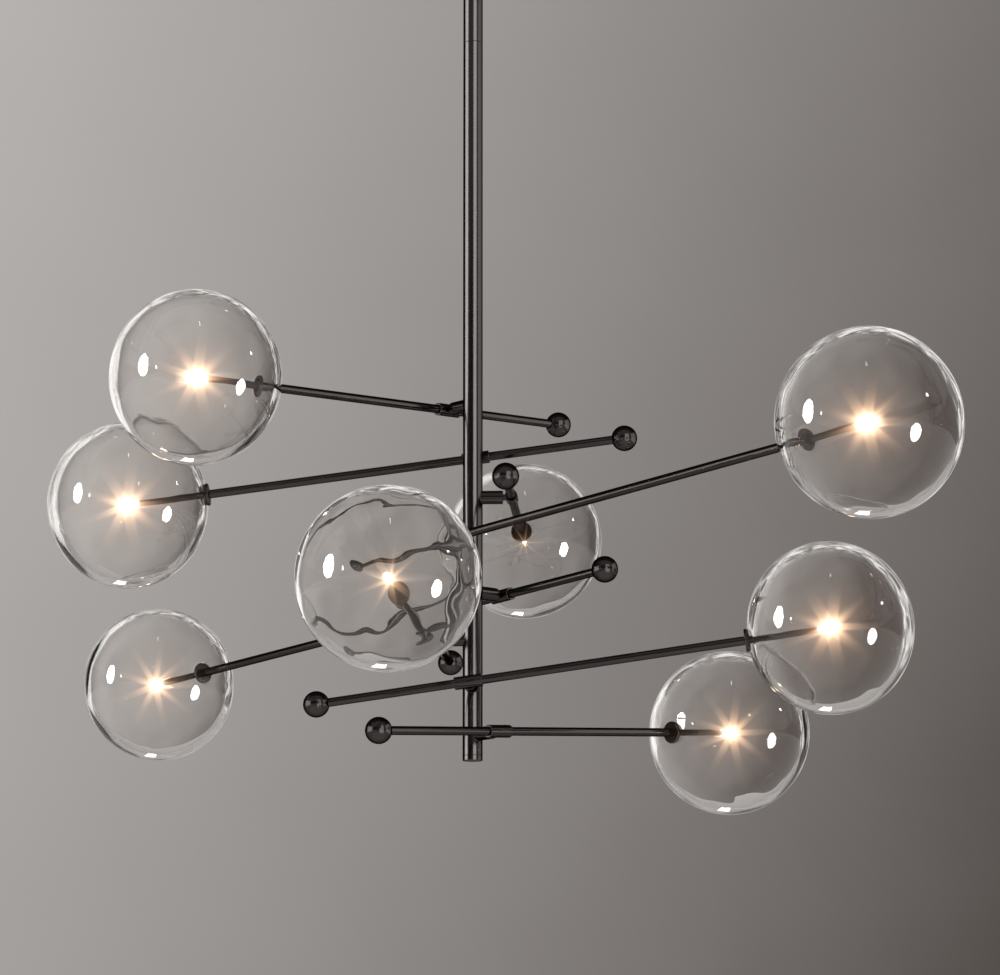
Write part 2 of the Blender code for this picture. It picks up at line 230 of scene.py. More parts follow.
def piece(name, mesh, finish, body, place, nodes=()):
    """Puts a mesh in place as a piece that moves with a body of the frame, instead of the CAD nodes."""
    if not mesh.materials:
        mesh.materials.append(finish)
    made = bpy.data.objects.new(name, mesh)
    bpy.context.scene.collection.objects.link(made)
    made.matrix_world = place
    made.modifiers.new("even_shading", "WEIGHTED_NORMAL").keep_sharp = True
    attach(made, body)
    if nodes:
        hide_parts(*nodes)
    return made


zinc = Shader(bpy.data.materials.new("zinc_plated_steel"))
place = zinc.node("ShaderNodeTexCoord", output="Object")
cloud = zinc.grain(place, ZINC_CLOUD_SIZE, detail=4)
squeezed = zinc.node("ShaderNodeMapping", {}, {"Vector": place, "Scale": ZINC_ROLLING_SQUEEZE})
rolled = zinc.grain(squeezed, ZINC_ROLLING_SIZE, detail=3)
worn = zinc.node("ShaderNodeAttribute", {"attribute_name": "edge_wear"}, output="Fac")
zinc_steel = zinc.surface(
    {
        "Base Color": zinc.mix(worn * ZINC_WEAR, zinc.mix(cloud, ZINC_DULL, ZINC_PALE), ZINC_WORN),
        "Metallic": 1.0,
        "Roughness": ZINC_ROUGHNESS + cloud * ZINC_CLOUD_ROUGHNESS + rolled * ZINC_ROLLING_ROUGHNESS,
        "Normal": zinc.bump(rolled, ZINC_ROLLING_DEPTH, strength=0.2),
    }
)

half_length = PLATE_LENGTH / 2 - PLATE_CORNER
half_width = PLATE_WIDTH / 2 - PLATE_CORNER
rim = []
for across, along, start in ((1, 1, 0), (-1, 1, 90), (-1, -1, 180), (1, -1, 270)):
    middle = (across * half_length, along * half_width)
    rim += arc(middle, (PLATE_CORNER, PLATE_CORNER), start, start + 90, PLATE_CORNER_STEPS)
holes = [ring_of_points(PLATE_SCREW_HOLE / 2, SCREW_SIDES, x) for x in PLATE_SCREW_PLACES]
holes.append(ring_of_points(HUB_BORE / 2, HUB_SIDES))
piece(
    "bracket_plate",
    pressed("bracket_plate", [rim, *holes], PLATE_THICKNESS, PLATE_EDGE),
    zinc_steel,
    "stem",
    Matrix.Translation((0, 0, -PLATE_THICKNESS / 2)),
    ["ceiling_bracket"],
)
hub_outline = [
    (HUB_DIAMETER / 2, 0),
    (HUB_DIAMETER / 2, -HUB_LENGTH, HUB_EDGE),
    (HUB_BORE / 2, -HUB_LENGTH, HUB_EDGE / 2),
    (HUB_BORE / 2, 0),
]
hub = turned("bracket_hub", hub_outline, HUB_SIDES)
hub_place = Matrix.Translation((0, 0, -PLATE_THICKNESS + PLATE_EDGE))
piece("bracket_hub", hub, zinc_steel, "stem", hub_place)


# Stem: two lengths of 25 mm tube in polished dark bronze, joined by a plug, with a cap pressed into the foot.
# The finish is a near-black bronze plating under clear lacquer, a little paler where edges are rubbed.
STEM_RADIUS = 0.0125
STEM_BORE = 0.0105
STEM_TOP = -0.0033
SEAM_HEIGHT = -0.122
SEAM_GAP = 0.0003
STEM_FOOT = -1.050
STEM_EDGE = 0.0007
STEM_SIDES = 72
PLUG_RADIUS = 0.0102
PLUG_LENGTH = 0.022
PLUG_WALL = 0.002
FOOT_CAP_HEIGHT = 0.0062
FOOT_CAP_GROOVE = 0.00035
BRONZE_DEEP = (0.071, 0.066, 0.065, 1)
BRONZE_WARM = (0.090, 0.083, 0.081, 1)
BRONZE_RUBBED = (0.19, 0.16, 0.145, 1)
BRONZE_EDGE_TINT = (0.12, 0.11, 0.105, 1)
BRONZE_WEAR = 0.9
BRONZE_CLOUD_SIZE = 0.022
BRONZE_CLOUD_SHARE = 0.7
BRONZE_MOTTLE_SIZE = 0.0035
BRONZE_MOTTLE_SHARE = 0.3
BRONZE_BRUSHING_SIZE = 0.003
BRONZE_BRUSHING_SQUEEZE = (0.3, 0.3, 2)
BRONZE_BRUSHING_DEPTH = 0.00003
BRONZE_ROUGHNESS = 0.15
BRONZE_CLOUD_ROUGHNESS = 0.02
BRONZE_FINE_ROUGHNESS = 0.01

bronze = Shader(bpy.data.materials.new("dark_bronze"))
place = bronze.node("ShaderNodeTexCoord", output="Object")
own = bronze.node("ShaderNodeObjectInfo", output="Random")
place = bronze.node("ShaderNodeVectorMath", {"operation": "ADD"}, {0: place, 1: own})
cloud = bronze.grain(place, BRONZE_CLOUD_SIZE, detail=3)
mottle = bronze.grain(place, BRONZE_MOTTLE_SIZE, detail=4)
squeezed = bronze.node("ShaderNodeMapping", {}, {"Vector": place, "Scale": BRONZE_BRUSHING_SQUEEZE})
brushed = bronze.grain(squeezed, BRONZE_BRUSHING_SIZE)
worn = bronze.node("ShaderNodeAttribute", {"attribute_name": "edge_wear"}, output="Fac")
patches = cloud * BRONZE_CLOUD_SHARE + mottle * BRONZE_MOTTLE_SHARE
patina = bronze.mix(patches, BRONZE_DEEP, BRONZE_WARM)
fine = mottle * BRONZE_FINE_ROUGHNESS + brushed * BRONZE_FINE_ROUGHNESS
dark_bronze = bronze.surface(
    {
        "Base Color": bronze.mix(worn * mottle * BRONZE_WEAR, patina, BRONZE_RUBBED),
        "Metallic": 1.0,
        "Roughness": BRONZE_ROUGHNESS + cloud * BRONZE_CLOUD_ROUGHNESS + fine,
        "Specular Tint": BRONZE_EDGE_TINT,
        "Normal": bronze.bump(brushed, BRONZE_BRUSHING_DEPTH, strength=0.02),
    }
)

upper_outline = [
    (STEM_RADIUS, STEM_TOP, STEM_EDGE),
    (STEM_RADIUS, SEAM_HEIGHT, STEM_EDGE / 2),
    (PLUG_RADIUS, SEAM_HEIGHT),
    (PLUG_RADIUS, SEAM_HEIGHT - PLUG_LENGTH, STEM_EDGE),
    (PLUG_RADIUS - PLUG_WALL, SEAM_HEIGHT - PLUG_LENGTH),
    (PLUG_RADIUS - PLUG_WALL, SEAM_HEIGHT + 2 * PLUG_WALL),
    (STEM_BORE, SEAM_HEIGHT + 2 * PLUG_WALL),
    (STEM_BORE, STEM_TOP),
]
upper_stem = turned("upper_stem_tube", upper_outline, STEM_SIDES)
piece("upper_stem_tube", upper_stem, dark_bronze, "stem", Matrix(), ["upper_stem"])

cap_line = STEM_FOOT + FOOT_CAP_HEIGHT
lower_outline = [
    (0, STEM_FOOT + PLUG_WALL),
    (STEM_BORE, STEM_FOOT + PLUG_WALL),
    (STEM_BORE, SEAM_HEIGHT - SEAM_GAP),
    (STEM_RADIUS, SEAM_HEIGHT - SEAM_GAP, STEM_EDGE / 2),
    (STEM_RADIUS, cap_line + FOOT_CAP_GROOVE),
    (STEM_RADIUS - FOOT_CAP_GROOVE, cap_line),
    (STEM_RADIUS, cap_line - FOOT_CAP_GROOVE),
    (STEM_RADIUS, STEM_FOOT, STEM_EDGE),
    (0, STEM_FOOT),
]
lower_stem = turned("lower_stem_tube", lower_outline, STEM_SIDES, closed=False)
piece("lower_stem_tube", lower_stem, dark_bronze, "stem", Matrix(), ["lower_stem"])


# Canopy: a shallow cup spun from sheet brass and plated like the stem, with a collar that a small socket
# screw grips to the stem, so that the cup can be lowered to reach the wiring.
CANOPY_RADIUS = 0.065
CANOPY_WALL = 0.0016
CANOPY_TOP = -0.0003
CANOPY_FOOT = -0.034
CANOPY_CORNER = 0.007
CANOPY_LIP = 0.0006
CANOPY_COLLAR_RADIUS = 0.018
CANOPY_COLLAR_FOOT = -0.042
CANOPY_BORE = 0.0128
CANOPY_SIDES = 128
CANOPY_SCREW_TURN = math.radians(150)
SCREW_RADIUS = 0.0017
SCREW_SOCKET = 0.0009
SCREW_LENGTH = 0.0016
SCREW_PROUD = 0.00012

canopy_outline = [
    (CANOPY_RADIUS, CANOPY_TOP, CANOPY_LIP),
    (CANOPY_RADIUS, CANOPY_FOOT, CANOPY_CORNER),
    (CANOPY_COLLAR_RADIUS, CANOPY_FOOT, CANOPY_WALL),
    (CANOPY_COLLAR_RADIUS, CANOPY_COLLAR_FOOT, STEM_EDGE),
    (CANOPY_BORE, CANOPY_COLLAR_FOOT, STEM_EDGE / 2),
    (CANOPY_BORE, CANOPY_FOOT + CANOPY_WALL, STEM_EDGE / 2),
    (CANOPY_RADIUS - CANOPY_WALL, CANOPY_FOOT + CANOPY_WALL, CANOPY_CORNER - CANOPY_WALL),
    (CANOPY_RADIUS - CANOPY_WALL, CANOPY_TOP, CANOPY_LIP),
]
canopy = turned("canopy_cup", canopy_outline, CANOPY_SIDES)
piece("canopy_cup", canopy, dark_bronze, "stem", Matrix(), ["canopy"])

socket_screw = pressed(
    "socket_screw",
    [ring_of_points(SCREW_RADIUS, SCREW_SIDES), ring_of_points(SCREW_SOCKET, 6)],
    SCREW_LENGTH,
    SCREW_PROUD,
)


def add_socket_screw(name, body, surface):
    """A socket set screw, sunk until it stands a hair proud of the surface that the matrix points out of."""
    sunk = surface @ Matrix.Translation((0, 0, SCREW_PROUD - SCREW_LENGTH / 2))
    piece(name, socket_screw, dark_bronze, body, sunk)


collar_side = (
    Matrix.Translation((0, 0, (CANOPY_FOOT + CANOPY_COLLAR_FOOT) / 2))
    @ Matrix.Rotation(CANOPY_SCREW_TURN, 4, "Z")
    @ Matrix.Rotation(math.pi / 2, 4, "Y")
    @ Matrix.Translation((0, 0, CANOPY_COLLAR_RADIUS))
)
add_socket_screw("canopy_screw", "stem", collar_side)


# Pivot bosses: eight round studs brazed to the stem, each coped to its curve with a small fillet of braze.
# Each is bored for the pin of its arm, and the arms' wires come out of the stem through it.
BOSS_RADIUS = 0.0085
BOSS_REACH = 0.038
BOSS_EDGE = 0.0006
BOSS_FILLET = 0.0007
BOSS_FILLET_STEPS = 4
BOSS_SINK = 0.0006
BOSS_SOCKET_RADIUS = 0.0043
BOSS_SOCKET_SHOWN = 0.004
BOSS_SIDES = 48
ARM_COUNT = 8
joints = {joint["name"]: joint for joint in frame["joints"]}


def boss_seat(number):
    """The way the boss points out of the stem: its X runs along the boss, and its Z is up."""
    joint = joints["arm_%d_tilt" % number]
    out, up = Vector(joint["axis"]), Vector((0, 0, 1))
    turn = Matrix((out, up.cross(out), up)).transposed().to_4x4()
    return Matrix.Translation(joint["pos_m"]) @ turn


def coped(point):
    """Bends the root end of the boss round the stem."""
    if point.z < BOSS_REACH / 2:
        point.z += math.sqrt(STEM_RADIUS**2 - point.y**2) - STEM_RADIUS
    return point


fillet_middle = (BOSS_RADIUS + BOSS_FILLET, STEM_RADIUS + BOSS_FILLET)
boss_outline = [
    (0, BOSS_REACH - BOSS_SOCKET_SHOWN),
    (BOSS_SOCKET_RADIUS, BOSS_REACH - BOSS_SOCKET_SHOWN),
    (BOSS_SOCKET_RADIUS, BOSS_REACH, BOSS_EDGE / 2),
    (BOSS_RADIUS, BOSS_REACH, BOSS_EDGE),
    *arc(fillet_middle, (BOSS_FILLET, BOSS_FILLET), 180, 270, BOSS_FILLET_STEPS),
    (BOSS_RADIUS + BOSS_FILLET, STEM_RADIUS - BOSS_SINK),
    (0, STEM_RADIUS - BOSS_SINK),
]
boss = turned("boss", boss_outline, BOSS_SIDES, closed=False, shaped=coped)
for number in range(1, ARM_COUNT + 1):
    along_boss = boss_seat(number) @ Matrix.Rotation(math.pi / 2, 4, "Y")
    node = ["pivot_boss_%d" % number]
    piece("boss_%d" % number, boss, dark_bronze, "stem", along_boss, node)


# Pivot collars: a short sleeve that the arm slides through, with a hollow pin brazed into its side. The pin
# turns stiffly in the boss, and a socket screw on the sleeve's top holds the arm.
ARM_OFFSET = 0.049
COLLAR_RADIUS = 0.008
COLLAR_BORE = 0.0058
COLLAR_HALF_LENGTH = 0.0175
COLLAR_EDGE = 0.0006
COLLAR_SCREW_PLACE = 0.011
PIN_RADIUS = 0.004
PIN_START = 0.0345
PIN_END = 0.0424
ARM_SIDES = 48
ARM_TILTS = (-2.1, -7.0, 2.8, 2.7, -3.0, 0.7, 7.7, 4.2)


def arm_place(number, distance=0.0):
    """A place on the arm's axis, so far beyond the pivot, with Z pointing along the arm to its globe."""
    tilted = boss_seat(number) @ Matrix.Rotation(math.radians(ARM_TILTS[number - 1]), 4, "X")
    return tilted @ Matrix.Translation((ARM_OFFSET, distance, 0)) @ Matrix.Rotation(-math.pi / 2, 4, "X")


collar_outline = [
    (COLLAR_RADIUS, COLLAR_HALF_LENGTH, COLLAR_EDGE),
    (COLLAR_RADIUS, -COLLAR_HALF_LENGTH, COLLAR_EDGE),
    (COLLAR_BORE, -COLLAR_HALF_LENGTH, COLLAR_EDGE / 3),
    (COLLAR_BORE, COLLAR_HALF_LENGTH, COLLAR_EDGE / 3),
]
collar = turned("collar", collar_outline, ARM_SIDES)
pin_outline = [(0, PIN_END), (PIN_RADIUS, PIN_END), (PIN_RADIUS, PIN_START), (0, PIN_START)]
pin = turned("pin", pin_outline, ARM_SIDES, closed=False)
for number in range(1, ARM_COUNT + 1):
    arm = "arm_%d" % number
    node = ["pivot_collar_%d" % number]
    piece("collar_%d" % number, collar, dark_bronze, arm, arm_place(number), node)
    along_boss = boss_seat(number) @ Matrix.Rotation(math.pi / 2, 4, "Y")
    piece("pin_%d" % number, pin, dark_bronze, arm, along_boss)
    top = arm_place(number, COLLAR_SCREW_PLACE) @ Matrix.Rotation(math.pi / 2, 4, "X")
    add_socket_screw("collar_screw_%d" % number, arm, top @ Matrix.Translation((0, 0, COLLAR_RADIUS)))


# Arm tubes: straight 11 mm tube in three lengths, plated like the stem. Each runs through its collar from
# the ball on its short end to the lampholder's flange.
TUBE_RADIUS = 0.0055
TUBE_BORE = 0.004
BALL_REACH = 0.191
BALL_RADIUS = 0.0165
BALL_SOCKET_FLOOR = 0.0045
FLANGE_BACK = 0.10574
GAP = 0.0003
ARM_REACHES = (0.4, 0.45, 0.45, 0.735, 0.735, 0.45, 0.45, 0.4)

tubes = {}
for reach in sorted(set(ARM_REACHES)):
    low, high = -BALL_REACH + BALL_SOCKET_FLOOR + GAP, reach - FLANGE_BACK - GAP
    tube_outline = [
        (TUBE_RADIUS, high, GAP),
        (TUBE_RADIUS, low, GAP),
        (TUBE_BORE, low),
        (TUBE_BORE, high),
    ]
    tubes[reach] = turned("arm_of_%d_mm" % round(reach * 1000), tube_outline, ARM_SIDES)
for number, reach in enumerate(ARM_REACHES, 1):
    arm = "arm_%d" % number
    node = ["arm_tube_%d" % number]
    piece("tube_%d" % number, tubes[reach], dark_bronze, arm, arm_place(number), node)


# Balls: a solid turned ball screwed on the short end of each arm, to balance a little of its globe. It is
# polished and plated like the rest, with a crisp edge where the tube enters.
BALL_MOUTH = 0.0058
BALL_SIDES = 64
BALL_STEPS = 40

mouth_angle = math.degrees(math.acos(BALL_MOUTH / BALL_RADIUS))
ball_outline = [(0, BALL_SOCKET_FLOOR), (BALL_MOUTH, BALL_SOCKET_FLOOR)]
ball_outline += arc((0, 0), (BALL_RADIUS, BALL_RADIUS), mouth_angle, -90, BALL_STEPS)
ball_outline[-1] = (0, -BALL_RADIUS)
ball = turned("ball", ball_outline, BALL_SIDES, closed=False)
for number in range(1, ARM_COUNT + 1):
    arm, end = "arm_%d" % number, arm_place(number, -BALL_REACH)
    node = ["counterweight_%d" % number]
    piece("ball_%d" % number, ball, dark_bronze, arm, end, node)


# Lampholders: turned in one piece and plated, each is a flange that carries the globe's neck, a spigot
# that plugs into the arm, and a slim tube with a tapered tip that holds the lamp in the globe's middle.
FLANGE_RADIUS = 0.01425
FLANGE_FACE = 0.10174
FLANGE_EDGE = 0.0013
NECK_PLUG_RADIUS = 0.0077
NECK_PLUG_LENGTH = 0.004
SPIGOT_RADIUS = 0.0037
SPIGOT_LENGTH = 0.014
LAMP_TUBE_RADIUS = 0.004
LAMP_TUBE_TIP_RADIUS = 0.0033
LAMP_TUBE_TAPER = 0.002
LAMP_TUBE_END = 0.015
LAMP_TUBE_BORE = 0.0023

holder_outline = [
    (LAMP_TUBE_TIP_RADIUS, -LAMP_TUBE_END, GAP),
    (LAMP_TUBE_RADIUS, -LAMP_TUBE_END - LAMP_TUBE_TAPER, LAMP_TUBE_TAPER),
    (LAMP_TUBE_RADIUS, -FLANGE_FACE + NECK_PLUG_LENGTH, GAP),
    (NECK_PLUG_RADIUS, -FLANGE_FACE + NECK_PLUG_LENGTH, GAP),
    (NECK_PLUG_RADIUS, -FLANGE_FACE),
    (FLANGE_RADIUS, -FLANGE_FACE, FLANGE_EDGE),
    (FLANGE_RADIUS, -FLANGE_BACK, FLANGE_EDGE),
    (SPIGOT_RADIUS, -FLANGE_BACK),
    (SPIGOT_RADIUS, -FLANGE_BACK - SPIGOT_LENGTH, GAP),
    (LAMP_TUBE_BORE, -FLANGE_BACK - SPIGOT_LENGTH),
    (LAMP_TUBE_BORE, -LAMP_TUBE_END),
]
holder = turned("holder", holder_outline, ARM_SIDES)
for number, reach in enumerate(ARM_REACHES, 1):
    arm, middle = "arm_%d" % number, arm_place(number, reach)
    node = ["lampholder_%d" % number]
    piece("holder_%d" % number, holder, dark_bronze, arm, middle, node)


# Lamps: small low-voltage capsules. Each is a short glass tube with a round end, lit in the middle, on a
# white ceramic foot whose two pins push into the lampholder. The foot has a painted glow, most next to the
# glass, that stands in for the lamp's light on it.
LAMP_RADIUS = 0.0048
LAMP_TOP = 0.012
LAMP_FOOT = -0.0147
LAMP_BASE_TOP = -0.0075
LAMP_SEAM = 0.0005
LAMP_PIN_RADIUS = 0.0004
LAMP_PIN_SPACING = 0.0013
LAMP_PIN_LENGTH = 0.006
LAMP_PIN_SIDES = 12
LAMP_SIDES = 32
LAMP_END_STEPS = 10
LAMP_GLASS = (0.9, 0.88, 0.85, 1)
LAMP_ROUGHNESS = 0.15
LAMP_UNEVEN = 0.1
LAMP_UNEVEN_SIZE = 0.004
LAMP_RADIANCE = 130.0
LAMP_CORE = (1, 0.80, 0.52, 1)
LAMP_ENDS = (0.008, 0.0055, 0.0035, 1)
LAMP_CORE_PLACE = 0.002
LAMP_CORE_HALF = 0.0052
LAMP_CORE_FADED = 0.00832
CERAMIC = (0.80, 0.77, 0.72, 1)
CERAMIC_SHADED = (0.66, 0.61, 0.54, 1)
# Painted glow of the ceramic foot, in place of the lamp's light on it: faint at the pins, bright by the
# glass.
CERAMIC_PAINTED_GLOW_FAINT = (0.10, 0.07, 0.045, 1)
CERAMIC_PAINTED_GLOW_BRIGHT = (1, 0.80, 0.60, 1)
CERAMIC_PAINTED_GLOW_STRENGTH = 9.0
CERAMIC_SPECK_SIZE = 0.0015
CERAMIC_ROUGHNESS = 0.45
CERAMIC_SPECK_ROUGHNESS = 0.2

lit = Shader(bpy.data.materials.new("lit_capsule"))
place = lit.node("ShaderNodeTexCoord", output="Object")
height = lit.node("ShaderNodeSeparateXYZ", {}, {0: place}, "Z")
from_core = lit.math("ABSOLUTE", height - LAMP_CORE_PLACE, 0.0)
end = lit.node("ShaderNodeMapRange", {}, {0: from_core, 1: LAMP_CORE_HALF, 2: LAMP_CORE_FADED})
uneven = lit.grain(place, LAMP_UNEVEN_SIZE) * LAMP_UNEVEN
lit_capsule = lit.surface(
    {
        "Base Color": LAMP_GLASS,
        "Roughness": LAMP_ROUGHNESS + uneven,
        "Emission Color": lit.mix(lit.math("MINIMUM", end + uneven, 1.0), LAMP_CORE, LAMP_ENDS),
        "Emission Strength": LAMP_RADIANCE,
    }
)
fired = Shader(bpy.data.materials.new("lamp_ceramic"))
place = fired.node("ShaderNodeTexCoord", output="Object")
speck = fired.grain(place, CERAMIC_SPECK_SIZE, detail=4)
height = fired.node("ShaderNodeSeparateXYZ", {}, {0: place}, "Z")
# Painted glow: the foot's emission rises from its pins towards the glass, standing in for the lamp's light.
painted_glow_share = fired.node("ShaderNodeMapRange", {}, {0: height, 1: LAMP_FOOT, 2: LAMP_BASE_TOP})
lamp_ceramic = fired.surface(
    {
        "Base Color": fired.mix(speck, CERAMIC_SHADED, CERAMIC),
        "Roughness": CERAMIC_ROUGHNESS + speck * CERAMIC_SPECK_ROUGHNESS,
        "Emission Color": fired.mix(painted_glow_share, CERAMIC_PAINTED_GLOW_FAINT, CERAMIC_PAINTED_GLOW_BRIGHT),
        "Emission Strength": CERAMIC_PAINTED_GLOW_STRENGTH,
    }
)
capsule_foot = LAMP_BASE_TOP + LAMP_SEAM
capsule_outline = arc((0, LAMP_TOP - LAMP_RADIUS), (LAMP_RADIUS, LAMP_RADIUS), 90, 0, LAMP_END_STEPS)
capsule_outline[0] = (0, LAMP_TOP)
capsule_outline += [(LAMP_RADIUS, capsule_foot, LAMP_SEAM / 2), (0, capsule_foot)]
capsule = turned("capsule", capsule_outline, LAMP_SIDES, closed=False)
foot_outline = [
    (0, LAMP_BASE_TOP + LAMP_SEAM / 2),
    (LAMP_RADIUS, LAMP_BASE_TOP + LAMP_SEAM / 2, LAMP_SEAM),
    (LAMP_RADIUS, LAMP_FOOT, 3 * LAMP_SEAM),
    (0, LAMP_FOOT),
]
foot = turned("lamp_foot", foot_outline, LAMP_SIDES, closed=False)
contact_outline = [
    (0, LAMP_FOOT),
    (LAMP_PIN_RADIUS, LAMP_FOOT),
    (LAMP_PIN_RADIUS, LAMP_FOOT - LAMP_PIN_LENGTH, LAMP_PIN_RADIUS / 2),
    (0, LAMP_FOOT - LAMP_PIN_LENGTH),
]
contact = turned("lamp_pin", contact_outline, LAMP_PIN_SIDES, closed=False)
for number, reach in enumerate(ARM_REACHES, 1):
    arm, middle = "arm_%d" % number, arm_place(number, reach)
    piece("capsule_%d" % number, capsule, lit_capsule, arm, middle, ["lamp_%d" % number])
    piece("lamp_foot_%d" % number, foot, lamp_ceramic, arm, middle)
    for side, x in (("a", -LAMP_PIN_SPACING), ("b", LAMP_PIN_SPACING)):
        beside = middle @ Matrix.Translation((x, 0, 0))
        piece("lamp_pin_%d%s" % (number, side), contact, zinc_steel, arm, beside)


# Globes: free-blown clear glass, 7 to 11 mm thick and thickest at the far end, ground flat round the neck
# hole where the flange sits. No two are alike: the outside ripples a little, and the inside more.
GLOBE_RADIUS = 0.1065
GLOBE_HALF_LENGTH = 0.1025
GLOBE_SIDE_WALL = 0.0075
GLOBE_END_WALL = 0.0105
GLOBE_SEAT = 0.10144
GLOBE_SEAT_RADIUS = 0.01525
GLOBE_NECK_HOLE = 0.008
GLOBE_NECK_EDGE = 0.0006
GLOBE_NECK_WALL = 0.007
GLOBE_SIDES = 128
GLOBE_OUTER_STEPS = 72
GLOBE_INNER_STEPS = 64
OUTER_SHARE = 0.965
OUTER_RIPPLE = 0.00022
OUTER_RIPPLE_LENGTH = 0.075
OUTER_SEED = 11.7
INNER_RIPPLES = (0.0007, 0.0007, 0.0007, 0.0007, 0.0007, 0.0011, 0.0007, 0.0007)
INNER_RIPPLE_LENGTH = 0.055
INNER_SEED = 5.9
FINE_RIPPLE_SHARE = 0.35
FINE_RIPPLE_SCALE = 2.3
RIPPLE_FADE = 0.02
GLOBE_SEEDS = (7.3, 3.1)
GLASS_CLEAR = (0.990, 0.984, 0.980, 1)
GLASS_SMOKED = (0.965, 0.955, 0.948, 1)
GLASS_HAZE_SIZE = 0.04
GLASS_HAZE_ROUGHNESS = 0.004
GLASS_IOR = 1.5

glass = Shader(bpy.data.materials.new("blown_glass"))
place = glass.node("ShaderNodeTexCoord", output="Object")
haze = glass.grain(place, GLASS_HAZE_SIZE)
clear_glass = glass.surface(
    {
        "Base Color": glass.mix(haze, GLASS_CLEAR, GLASS_SMOKED),
        "Roughness": haze * GLASS_HAZE_ROUGHNESS,
        "IOR": GLASS_IOR,
        "Transmission Weight": 1.0,
    }
)

inner_top = GLOBE_HALF_LENGTH - GLOBE_END_WALL
inner_foot = -GLOBE_SEAT + GLOBE_NECK_WALL
inner_middle, inner_half = (inner_top + inner_foot) / 2, (inner_top - inner_foot) / 2
inner_radius = GLOBE_RADIUS - GLOBE_SIDE_WALL
seat_angle = math.degrees(math.asin(GLOBE_SEAT / GLOBE_HALF_LENGTH))
neck_angle = math.degrees(math.acos(GLOBE_NECK_HOLE / inner_radius))
globe_outline = arc((0, 0), (GLOBE_RADIUS, GLOBE_HALF_LENGTH), 90, -seat_angle, GLOBE_OUTER_STEPS)
globe_outline[0] = (0, GLOBE_HALF_LENGTH)
globe_outline.append((GLOBE_NECK_HOLE, -GLOBE_SEAT, GLOBE_NECK_EDGE))
globe_outline += arc((0, inner_middle), (inner_radius, inner_half), -neck_angle, 90, GLOBE_INNER_STEPS)
globe_outline[-1] = (0, inner_top)


def rippled(number):
    """Moves a point of the globe in or out as the hot glass flowed, but not where it is ground.

    A point is on the outside from OUTER_SHARE of the outer ellipsoid on.
    """
    outside = (OUTER_RIPPLE, OUTER_RIPPLE_LENGTH, OUTER_SEED)
    inside = (INNER_RIPPLES[number - 1], INNER_RIPPLE_LENGTH, INNER_SEED)

    def move(point):
        share = (point.x**2 + point.y**2) / GLOBE_RADIUS**2 + (point.z / GLOBE_HALF_LENGTH) ** 2
        size, length, seed = outside if share > OUTER_SHARE else inside
        seed = Vector((GLOBE_SEEDS[0] * number, GLOBE_SEEDS[1] * number, seed))
        fine = noise.noise(point * FINE_RIPPLE_SCALE / length - seed)
        swell = noise.noise(point / length + seed) + FINE_RIPPLE_SHARE * fine
        from_neck = math.hypot(point.x, point.y) if point.z < 0 else GLOBE_RADIUS
        fade = min(max((from_neck - GLOBE_SEAT_RADIUS) / RIPPLE_FADE, 0), 1)
        return point + point.normalized() * swell * size * fade

    return move


bubbles = []
for number, reach in enumerate(ARM_REACHES, 1):
    name, arm = "bubble_%d" % number, "arm_%d" % number
    bubble = turned(name, globe_outline, GLOBE_SIDES, closed=False, shaped=rippled(number))
    bubble.transform(arm_place(number, reach))
    node = ["globe_%d" % number]
    bubbles.append(piece(name, bubble, clear_glass, arm, Matrix(), node))


# Camera: it looks up at the light from below and a little to its right, through a long lens. Its place, its
# turns and its focal length, in pixels of the picture, were fitted to the photograph.
CAMERA_PLACE = Vector((0.366, -4.5471, -1.5637))
CAMERA_TURN = 0.0728
CAMERA_RISE = 0.18617
CAMERA_ROLL = -0.00074
FOCAL_PIXELS = 3686
PICTURE_WIDTH = 1000
SENSOR_WIDTH = 36

camera = bpy.data.objects.new("camera", bpy.data.cameras.new("camera"))
bpy.context.scene.collection.objects.link(camera)
camera.data.sensor_fit = "HORIZONTAL"
camera.data.sensor_width = SENSOR_WIDTH
camera.data.lens = FOCAL_PIXELS / PICTURE_WIDTH * SENSOR_WIDTH
camera.matrix_world = (
    Matrix.Translation(CAMERA_PLACE)
    @ Matrix.Rotation(CAMERA_TURN, 4, "Z")
    @ Matrix.Rotation(math.pi / 2 + CAMERA_RISE, 4, "X")
    @ Matrix.Rotation(CAMERA_ROLL, 4, "Z")
)
bpy.context.scene.camera = camera


# Floor: a plain pale studio floor, far below the light and out of the photograph's view. A soft light of its
# own keeps it even, seen from any side.
FLOOR_HEIGHT = -3.4
FLOOR_HALF = 80.0
FLOOR_PALE = (0.66, 0.64, 0.62, 1)
FLOOR_WORN = (0.58, 0.56, 0.54, 1)
FLOOR_SCUFF_SIZE = 0.6
FLOOR_ROUGHNESS = 0.55
FLOOR_SCUFF_ROUGHNESS = 0.2
FLOOR_LIGHT = 1.7
FLOOR_LIGHT_ANGLE = math.radians(60)


def group(name, members):
    """A collection that a light can be aimed at."""
    collection = bpy.data.collections.new(name)
    for member in members:
        collection.objects.link(member)
    return collection


pale = Shader(bpy.data.materials.new("pale_floor"))
scuff = pale.grain(pale.node("ShaderNodeTexCoord", output="Object"), FLOOR_SCUFF_SIZE, detail=5)
pale_floor = pale.surface(
    {
        "Base Color": pale.mix(scuff, FLOOR_WORN, FLOOR_PALE),
        "Roughness": FLOOR_ROUGHNESS + scuff * FLOOR_SCUFF_ROUGHNESS,
    }
)
floor_mesh = bpy.data.meshes.new("floor")
corners = [(x * FLOOR_HALF, y * FLOOR_HALF, FLOOR_HEIGHT) for x, y in ((-1, -1), (1, -1), (1, 1), (-1, 1))]
floor_mesh.from_pydata(corners, [], [(0, 1, 2, 3)])
floor_mesh.materials.append(pale_floor)
floor = bpy.data.objects.new("floor", floor_mesh)
bpy.context.scene.collection.objects.link(floor)

